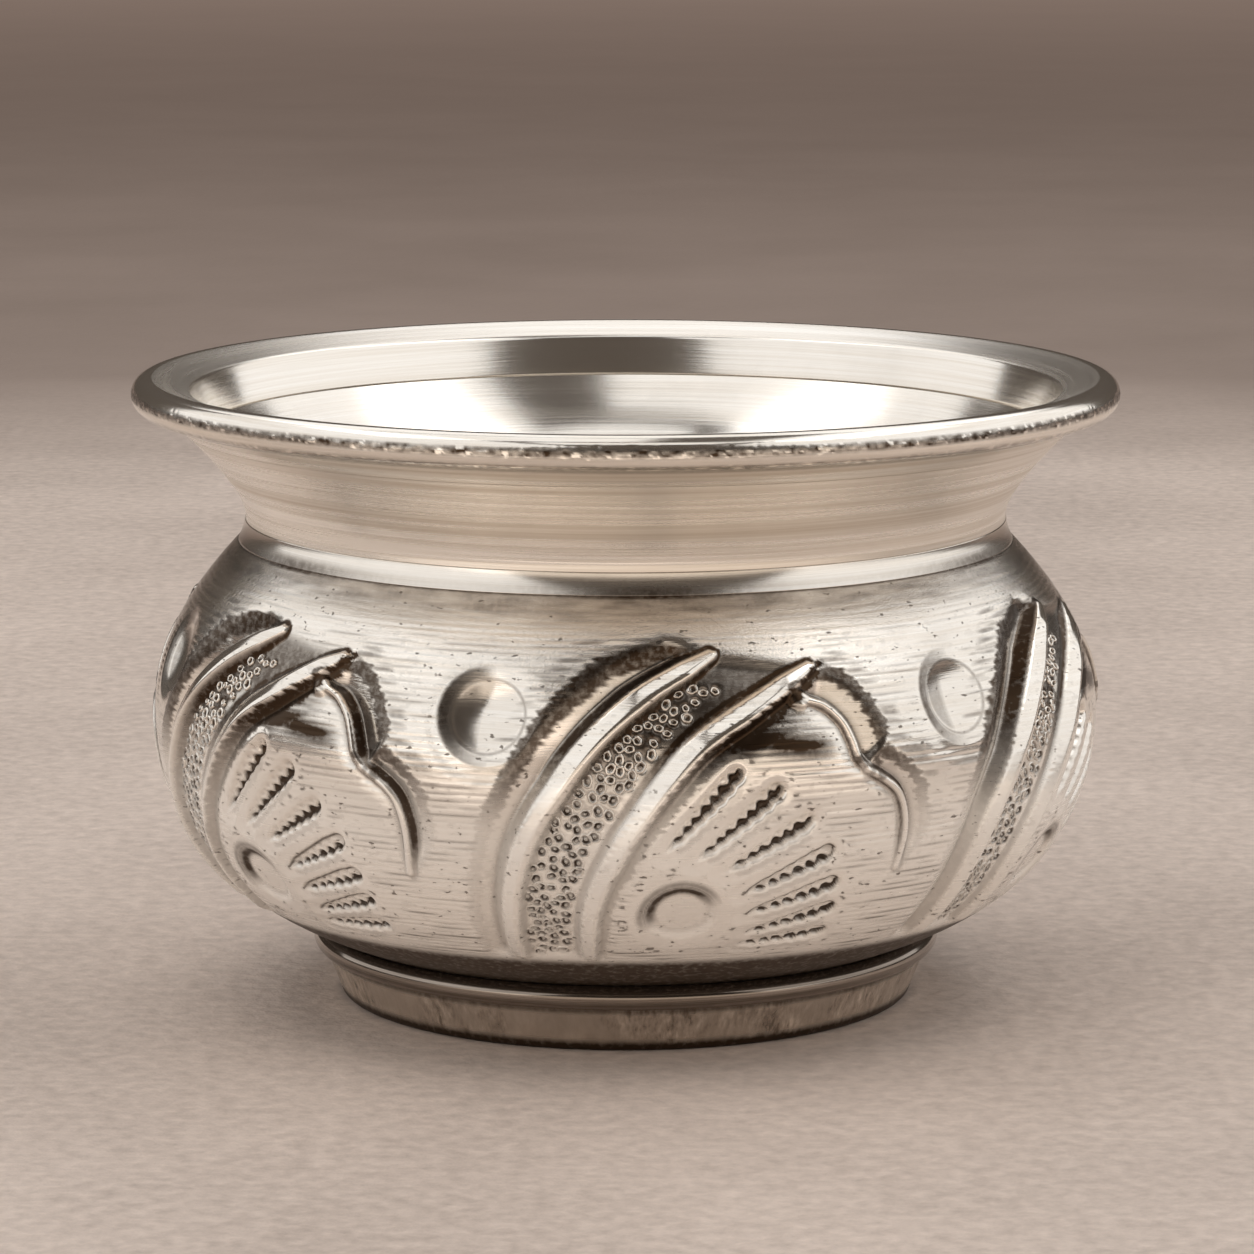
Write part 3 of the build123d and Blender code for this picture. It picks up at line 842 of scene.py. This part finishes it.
def punched_rings(outer, depth, relief, spots):
    """Small rings left by a ring punch, scattered over the bands."""
    normals = section_normals(outer, False)
    columns = relief.shape[1]
    sides = len(MARK_REACH)
    ring_faces, down, right = grid_faces(MARK_TURNS, sides)
    sweep = np.arange(MARK_TURNS)[:, None] * 2 * np.pi / MARK_TURNS
    cells = math.ceil(math.sqrt(len(spots) * REPEATS))
    all_points, all_faces, all_uv, all_patina_and_shade = [], [], [], []
    for repeat in range(REPEATS):
        for angle, down_to, size in spots:
            number = len(all_points)
            turn = math.radians(angle + repeat * SECTOR)
            row = np.argmin(np.abs(depth - down_to))
            column = int(turn / (2 * np.pi) % 1 * columns) % columns
            radial = np.array([math.sin(turn), -math.cos(turn), 0.0])
            out = radial * normals[row, 0] + np.array([0, 0, normals[row, 1]])
            side = np.array([math.cos(turn), math.sin(turn), 0.0])
            up = np.cross(out, side)
            centre = radial * outer[row, 0] + np.array([0, 0, outer[row, 1]]) + out * relief[row, column]
            lean = seed.uniform(0, 2 * np.pi)
            squash = seed.uniform(0.8, 1.15)
            uneven = 1 + 0.13 * np.sin(2 * sweep + lean) + 0.06 * np.sin(5 * sweep + 3 * lean)
            reach = size * MARK_REACH * uneven
            low = ramp(down_to + seed.uniform(-1.5, 1.5), 13.0, 16.0)
            lift = MARK_LIFT[0] * (1 - low) + MARK_LIFT[1] * low
            lift = lift * np.where(lift > 0, 0.85 + 0.6 * np.sin(sweep + lean), 1.0)
            patina_and_shade = MARK_PATINA_AND_SHADE[0] * (1 - low) + MARK_PATINA_AND_SHADE[1] * low
            all_patina_and_shade.append(np.clip(patina_and_shade * (0.9 + 0.3 * np.sin(sweep + lean)), 0, 1))
            points = (
                centre
                + side * (reach * np.cos(sweep))[..., None]
                + up * (reach * np.sin(sweep) * squash)[..., None]
                + out * lift[..., None]
            )
            all_points.append(points.reshape(-1, 3))
            all_faces.append(ring_faces + number * MARK_TURNS * sides)
            cell = np.array([number % cells, number // cells])
            local = np.stack([right / sides, down / MARK_TURNS], -1) * 0.9 + 0.05
            all_uv.append(((local + cell) / cells).reshape(-1, 4, 2))
    points = np.concatenate(all_points)
    faces = np.concatenate(all_faces)[:, ::-1]
    uv = np.concatenate(all_uv)[:, ::-1]
    marks = {"tarnish_and_shade": np.concatenate(all_patina_and_shade)}
    add_piece("belly_rings", points, faces, uv, [belly_metal], np.zeros(len(faces)), marks)


def lathe_marks(depth, relief, ground):
    """Fine turned grooves in millimetres, the dark lines in them and the plain upper ground."""
    shape = relief.shape
    phase = depth[:, None] / LATHE_STEP + 0.22 * grain(shape, 30, 120)
    groove = np.exp(-((((phase % 1) - 0.5) / 0.19) ** 2))
    plain = 1 - ramp(np.abs(blurred(relief, 2, 2)), 0.03, 0.16)
    turned_part = plain * ground * ramp(depth, 0.5, 5.0)[:, None]
    turned_part = turned_part * (1 - ramp(depth, 29.6, 30.6))[:, None]
    strength = np.clip(0.75 + 0.45 * grain(shape, 3, 70), 0.1, 2.0)
    deep = np.interp(depth, [3, 6, 10, 18, 27], [0.010, 0.018, 0.034, 0.022, 0.026])[:, None]
    shade = np.interp(depth, [3, 6, 12, 20, 28], [0.2, 0.45, 0.55, 0.5, 0.9])[:, None]
    lines = shade * groove * turned_part * np.clip(grain(shape, 1.2, 12) * 0.6 + 0.2, 0, 1)
    return -deep * groove * strength * turned_part, lines, plain * (1 - ramp(depth, 8.0, 15.0))[:, None]


# Radius at which the belly's section ends, and steps of its plain parts
NEAR_AXIS = 0.02
SHOULDER_STEP, BASE_STEP, BOTTOM_STEP, INSIDE_STEP = 0.16, 0.4, 1.5, 0.7


def painted_seam_reflection(columns):
    """How much painted dark reflection the neck seam gets round the bowl: a little all round, most near the
    front.
    """
    angle = np.arange(columns) * 360 / columns
    return 0.2 + 0.75 * np.exp(-((wrapped(angle, 4.0) / 14) ** 2))


def shoulder_darkening(from_mouth, columns):
    """Darkening along the neck seam's lower edge, painted dark reflection just below it near the front, and
    a haze below it.
    """
    under_seam = (from_mouth - np.hypot(*(neck_seam_low - mouth)))[:, None]
    edge = 0.85 * (1 - ramp(under_seam, 0.05, 0.2))
    patches = painted_seam_reflection(columns) * (1 - ramp(under_seam, 0.1, 0.5))
    uneven = np.clip(1 + 0.22 * grain((len(from_mouth), columns), 0.7, 9), 0.4, 1.5)
    haze = 0.42 * (1 - ramp(under_seam, 0.8, 3.6)) * uneven
    return np.maximum(np.maximum(edge, patches), haze)


def belly_inside():
    """Section of the belly's inside, from the axis to the mouth."""
    inner_shoulder = mouth - left_of(shoulder_heading) * BELLY_WALL
    inner_mouth = at_radius(inner_shoulder, shoulder_heading, MOUTH_RADIUS)
    inner_equator = equator - np.array([BELLY_WALL, 0])
    inner_shoulder_guide = at_radius(inner_mouth, shoulder_heading, inner_equator[0])
    inner_base = base - left_of(base_heading) * BELLY_WALL
    inner_base_guide = at_radius(inner_base, base_heading, inner_equator[0])
    floor_edge = at_height(inner_base, base_heading, bottom_edge[1] + BELLY_WALL)
    inside = np.concatenate([
        [(NEAR_AXIS, floor_edge[1])],
        [floor_edge],
        bend(inner_base, inner_base_guide, inner_equator, 200),
        bend(inner_equator, inner_shoulder_guide, inner_mouth, 200)[1:],
    ])
    return evenly(inside, INSIDE_STEP)


def inside_print(relief, outer, inside):
    """Lift of the inside, where the relief shows softly."""
    pressed = relief
    for _ in range(8):
        for axis in (0, 1):
            beside = np.minimum(np.roll(pressed, 1, axis), np.roll(pressed, -1, axis))
            pressed = np.minimum(pressed, beside)
    pressed = blurred(pressed, 4, 4)
    rows = np.array([np.argmin(np.hypot(*(outer - p).T)) for p in inside])
    return -pressed[rows] * ramp(inside[:, 1], 7.0, 10.0)[:, None]


def belly_shell():
    """Embossed belly: relief outside, and a softer print of it inside."""
    seat_end = collar_foot + shoulder_heading * NECK_SEAT
    outside = np.concatenate([
        [mouth, seat_end],
        bend(seat_end, shoulder_guide, equator, 400)[1:],
        bend(equator, base_guide, base, 400)[1:],
        [bottom_edge],
    ])
    lengths = run_lengths(outside)
    crease = np.interp(-CREASE_HEIGHT, -outside[:, 1], lengths)
    depth = np.concatenate([
        np.arange(-crease, ORNAMENT_TOP, SHOULDER_STEP),
        np.arange(ORNAMENT_TOP, ORNAMENT_BOTTOM, ORNAMENT_STEP),
        np.arange(ORNAMENT_BOTTOM, lengths[-1] - crease, BASE_STEP),
        [lengths[-1] - crease],
    ])
    outer = points_along(outside, depth + crease)
    *fields, spots = ornament(depth, outer[:, 0])
    relief, dents, patina_and_shade, pad = (np.tile(field, (1, REPEATS)) for field in fields)
    columns = relief.shape[1]
    punched_rings(outer, depth, relief, spots)
    relief = relief - dents
    grooves, lines, plain = lathe_marks(depth, relief, 1 - pad)

    near_hollow = np.clip((blurred(relief, 3, 3) - relief) / 0.14, 0, 1)
    stains = np.maximum((0.7 - 0.25 * ramp(depth, 12.0, 16.0))[:, None] * near_hollow, lines)
    tarnish_and_shade = np.where((stains > 0.05) & (patina_and_shade > -0.3), np.maximum(stains, patina_and_shade), patina_and_shade)
    # Darker towards the foot below the ornament: painted shade under the belly, partly patina
    tarnish_and_shade = np.maximum(tarnish_and_shade, 0.95 * ramp(depth, 29.6, 31.0)[:, None])
    tarnish_and_shade = np.maximum(tarnish_and_shade, shoulder_darkening(depth + crease, columns))

    bottom = evenly([outer[-1], (NEAR_AXIS, outer[-1][1])], BOTTOM_STEP)[1:]
    inside = belly_inside()
    section = np.concatenate([outer, bottom, inside])
    flat = np.zeros((len(bottom), columns))
    lift = np.concatenate([relief + grooves, flat, inside_print(relief, outer, inside)])
    within = np.zeros((len(bottom) + len(inside), columns))
    marks = {"tarnish_and_shade": np.concatenate([tarnish_and_shade, within]), "plain": np.concatenate([plain, within])}
    materials = [belly_metal, inside_metal]
    turned("belly", "belly_shell", materials, section, columns, lift, marks)


def neck_collar():
    """Spun collar with a narrow waist."""
    section = np.concatenate([
        bend(rim_seam_end, outer_waist, neck_seam_high, 60),
        [neck_seam_corner, collar_foot, mouth],
        bend(mouth, waist, flare_start, 60)[1:],
        [collar_end, collar_outer_end],
    ])
    section = evenly(section, 0.2, True)
    turned("collar", "neck_collar", [collar_metal, inside_metal], section, PLAIN_COLUMNS)


# The rim bead's pits, and how far it stands inside the round, as the facets of the CAD model do
PITS, PIT_SIZES, PIT_DEPTHS = 1800, (0.06, 0.17), (0.006, 0.024)
FACET_GAP = 0.011


def rim_ring():
    """Solid rim ring with small pits and dents in its bead."""
    reach = bead_centre - lip_edge
    distance = np.hypot(*reach)
    lip_slope = math.degrees(math.atan2(reach[1], reach[0]) + math.asin(RIM_BEAD_RADIUS / distance))
    lip_end = lip_edge + heading_at(lip_slope) * math.sqrt(distance**2 - RIM_BEAD_RADIUS**2)
    inside = eased([collar_end, flare_start, lip_edge, lip_end], 0.22, False)
    bead = arc(bead_centre, RIM_BEAD_RADIUS, lip_slope + 90, -RIM_BEAD_TURN, 60)
    section = evenly(np.concatenate([inside, bead[1:]]), 0.12, True)
    lift = np.zeros((len(section), RIM_COLUMNS))
    angles = np.arange(RIM_COLUMNS) * 2 * np.pi / RIM_COLUMNS
    rise = section[:, 1] - bead_centre[1]
    on_bead = section[:, 0] > bead_centre[0]
    bead_rows = np.flatnonzero(on_bead & (np.abs(rise) < 0.5))
    for _ in range(PITS):
        row = seed.choice(bead_rows)
        angle = seed.uniform(0, 2 * np.pi)
        size = seed.uniform(*PIT_SIZES)
        deep = seed.uniform(*PIT_DEPTHS)
        across = ((angles - angle + np.pi) % (2 * np.pi) - np.pi) * section[row, 0]
        rows = np.hypot(*(section - section[row]).T)
        near = rows < 3 * size
        lift[near] -= deep * np.exp(-(rows[near][:, None] ** 2 + across[None] ** 2 * 0.6) / size**2)
    lift[on_bead] -= FACET_GAP
    line = on_bead * window(rise, -0.22, 0.40, 0.12) * 0.68
    # Painted shade on the lower part of the bead, which faces down
    below = 0.4 * ramp(-rise, 0.6, 0.95)
    white_dots = ramp(grain(lift.shape, 0.7, 1.0), 0.9, 1.6)
    uneven = 1 + 0.2 * grain(lift.shape, 0.7, 1.0)
    tarnish_and_shade = (line + below)[:, None] * (1 - white_dots) * uneven
    materials = [rim_metal, lip_metal, inside_metal]
    finish = (section[:, 0] < lip_end[0]) * np.where(section[:, 1] > lip_edge[1] - 0.1, 1, 2)
    turned("rim", "rim_ring", materials, section, RIM_COLUMNS, lift, {"tarnish_and_shade": tarnish_and_shade}, finish)


def foot_ring():
    """Tapered strip ring that the bowl stands on."""
    corners = [
        foot_top_inner,
        foot_top_outer,
        (FOOT_TOP_RADIUS, FOOT_TAPER_HEIGHT),
        (FOOT_BOTTOM_RADIUS, 0),
        (FOOT_BOTTOM_RADIUS - FOOT_WALL, 0),
        (foot_top_inner[0], FOOT_TAPER_HEIGHT),
    ]
    section = evenly(eased(corners, 0.28), 0.12, True)
    height = section[:, 1]
    # Painted shadow along the bottom edge where the foot meets the floor, and painted shade under the wire
    under_wire = ramp(height, FOOT_TAPER_HEIGHT - 0.5, FOOT_TAPER_HEIGHT - 0.1)
    shade = np.maximum(1 - ramp(height, 0.35, 1.0), 0.7 * under_wire)
    marks = {"tarnish_and_shade": np.repeat(shade, PLAIN_COLUMNS)}
    turned("foot", "foot_ring", [foot_metal], section, PLAIN_COLUMNS, marks=marks)


def foot_bead():
    """Half-round wire round the top of the foot."""
    centre = (FOOT_TOP_RADIUS, FOOT_TAPER_HEIGHT + FOOT_BEAD_RADIUS)
    section = evenly(arc(centre, FOOT_BEAD_RADIUS, 90, -90, 40), 0.1, True)
    turned("foot_wire", "foot_bead", [bead_metal], section, PLAIN_COLUMNS)


def solder_seam(name, node, ends, corner, guide, material, dark_end, darkening):
    """Seam that fills a corner. Its front bends towards a guide and is darkened near one end."""
    front = bend(ends[1], guide, ends[0], 30)
    section = evenly(np.concatenate([[ends[0], corner], front[:-1]]), 0.08, True)
    near = 1 - ramp(np.hypot(*(section - dark_end).T), 0.3, 1.25)
    marks = {"tarnish_and_shade": near[:, None] * darkening * np.ones(PLAIN_COLUMNS)}
    turned(name, node, [material], section, PLAIN_COLUMNS, marks=marks)


def hollow_guide(ends, hollow):
    """Guide point of a front that is hollow in its middle."""
    return (ends[0] + ends[1]) / 2 + left_of(direction(*ends)) * hollow * 2


def solder_seams():
    """Seams in the neck's crease, under the rim and inside the foot."""
    neck = (neck_seam_low, neck_seam_high)
    guide = hollow_guide(neck, NECK_SEAM_HOLLOW)
    # Painted dark reflection on the neck seam, most near the front of the bowl
    darkening = 0.8 * painted_seam_reflection(PLAIN_COLUMNS)
    solder_seam("neck_seam", "neck_solder_seam", neck, neck_seam_corner, guide, seam_metal, neck[0], darkening)
    rim = (rim_seam_end, bead_end)
    guide = rim_seam_end + flare_heading * RIM_SEAM_BULGE
    # Painted shadow on the rim seam just under the bead
    solder_seam("rim_seam", "rim_solder_seam", rim, collar_outer_end, guide, rim_seam_metal, rim[1], 0.42)
    foot = (foot_seam_in, foot_seam_down)
    guide = hollow_guide(foot, FOOT_SEAM_HOLLOW)
    solder_seam("foot_seam", "foot_solder_seam", foot, foot_top_inner, guide, seam_metal, foot[1], 0.3)


belly_shell()
neck_collar()
rim_ring()
foot_ring()
foot_bead()
solder_seams()


# Stage: a pale floor that darkens to a backdrop well away from the bowl
FLOOR_REACH = 4
FLOOR_CLOUDS = (16.0, 16.0, 16.0)
FLOOR_GRAIN, FLOOR_GRAIN_DEPTH = (700.0, 700.0, 700.0), 0.00015
NEAR_FLOOR = ((0.48, 0.395, 0.342, 1.0), (0.86, 0.725, 0.635, 1.0))
FAR_FLOOR = ((0.34, 0.265, 0.225, 1.0), (0.40, 0.315, 0.27, 1.0))
BACKDROP_GLOW = (1.0, 0.74, 0.62, 1.0)


def floor_plaster():
    """Pale plaster with soft clouds, which glows a little far away."""
    nodes = Nodes("floor_plaster")
    flat = nodes.add("ShaderNodeVectorMath", {0: nodes.coords(), 1: (1.0, 1.0, 0.0)}, operation="MULTIPLY")
    away = nodes.add("ShaderNodeVectorMath", {0: flat}, output=1, operation="LENGTH")
    cloud = nodes.noise(FLOOR_CLOUDS, 6.0, 0.6)
    grain_fine = nodes.noise(FLOOR_GRAIN, 3.0, 0.6)
    mix = nodes.math("MULTIPLY", nodes.math("ADD", cloud, grain_fine), 0.5)
    near = nodes.blend(nodes.spread(mix, 0.3, 0.7), *NEAR_FLOOR)
    far = nodes.blend(nodes.spread(cloud, 0.3, 0.7), *FAR_FLOOR)
    nodes.set(nodes.shader, "Base Color", nodes.blend(nodes.spread(away, 0.27, 0.37), near, far))
    nodes.set(nodes.shader, "Emission Color", BACKDROP_GLOW)
    nodes.set(nodes.shader, "Emission Strength", nodes.spread(away, 0.37, 1.4, 0.0, 0.18))
    nodes.set(nodes.shader, "Roughness", 0.55)
    nodes.set(nodes.shader, "Normal", nodes.bump(grain_fine, FLOOR_GRAIN_DEPTH))
    return nodes.material


floor_mesh = bpy.data.meshes.new("floor")
floor_corners = [(x * FLOOR_REACH, y * FLOOR_REACH, 0) for x, y in ((-1, -1), (1, -1), (1, 1), (-1, 1))]
floor_mesh.from_pydata(floor_corners, [], [(0, 1, 2, 3)])
floor_mesh.materials.append(floor_plaster())
floor = bpy.data.objects.new("floor", floor_mesh)
bpy.context.collection.objects.link(floor)


# Light: soft boxes left, right, overhead and behind, and a low warm card in front


def soft_box(name, place, aim, width, height, radiance, colour=(1.0, 1.0, 1.0)):
    """Lamp that the camera doesn't see."""
    lamp = bpy.data.lights.new(name, "AREA")
    lamp.shape = "RECTANGLE"
    lamp.size = width
    lamp.size_y = height
    lamp.energy = radiance * math.pi * width * height
    lamp.color = colour
    box = bpy.data.objects.new(name, lamp)
    box.location = place
    box.rotation_euler = (Vector(aim) - Vector(place)).to_track_quat("-Z", "Y").to_euler()
    box.visible_camera = False
    bpy.context.collection.objects.link(box)


BOWL = (0.0, 0.0, 0.03)
WARM_CARD = (1.0, 0.88, 0.76)
soft_box("soft_box_left", (-0.404, -0.071, 0.317), BOWL, 1.10, 0.62, 0.95)
soft_box("soft_box_right", (0.410, 0.014, 0.317), BOWL, 0.98, 0.60, 1.0)
soft_box("soft_box_top_left", (-0.21, 0.06, 0.62), (-0.21, 0.06, 0.0), 0.48, 0.38, 1.0)
soft_box("soft_box_top_front", (0.02, -0.27, 0.62), (0.02, -0.27, 0.0), 0.36, 0.17, 1.0)
soft_box("soft_box_top_right", (0.34, 0.0, 0.62), (0.34, 0.0, 0.0), 0.28, 0.50, 1.0)
soft_box("soft_box_back", (0.0, 0.46, 0.55), BOWL, 0.70, 0.40, 1.1)
soft_box("card_front", (0.0, -0.42, 0.114), (0.0, -0.353, 0.302), 1.0, 0.673, 0.76, WARM_CARD)

world = bpy.data.worlds.new("studio")
bpy.context.scene.world = world
world.use_nodes = True
sky = world.node_tree.nodes["Background"]
sky.inputs["Color"].default_value = (0.80, 0.62, 0.48, 1.0)
sky.inputs["Strength"].default_value = 0.08

# Camera
CAMERA_PLACE = (0.0001, -0.380, 0.0904)
AIM_HEIGHT = 0.02605
lens = bpy.data.cameras.new("camera")
lens.sensor_width = 36.0
lens.lens = 154.7
lens.clip_start = 0.01
camera = bpy.data.objects.new("camera", lens)
camera.location = CAMERA_PLACE
camera.rotation_euler = (math.atan2(-CAMERA_PLACE[1], CAMERA_PLACE[2] - AIM_HEIGHT), 0, 0)
bpy.context.collection.objects.link(camera)
bpy.context.scene.camera = camera
bpy.context.scene.view_settings.view_transform = "Standard"
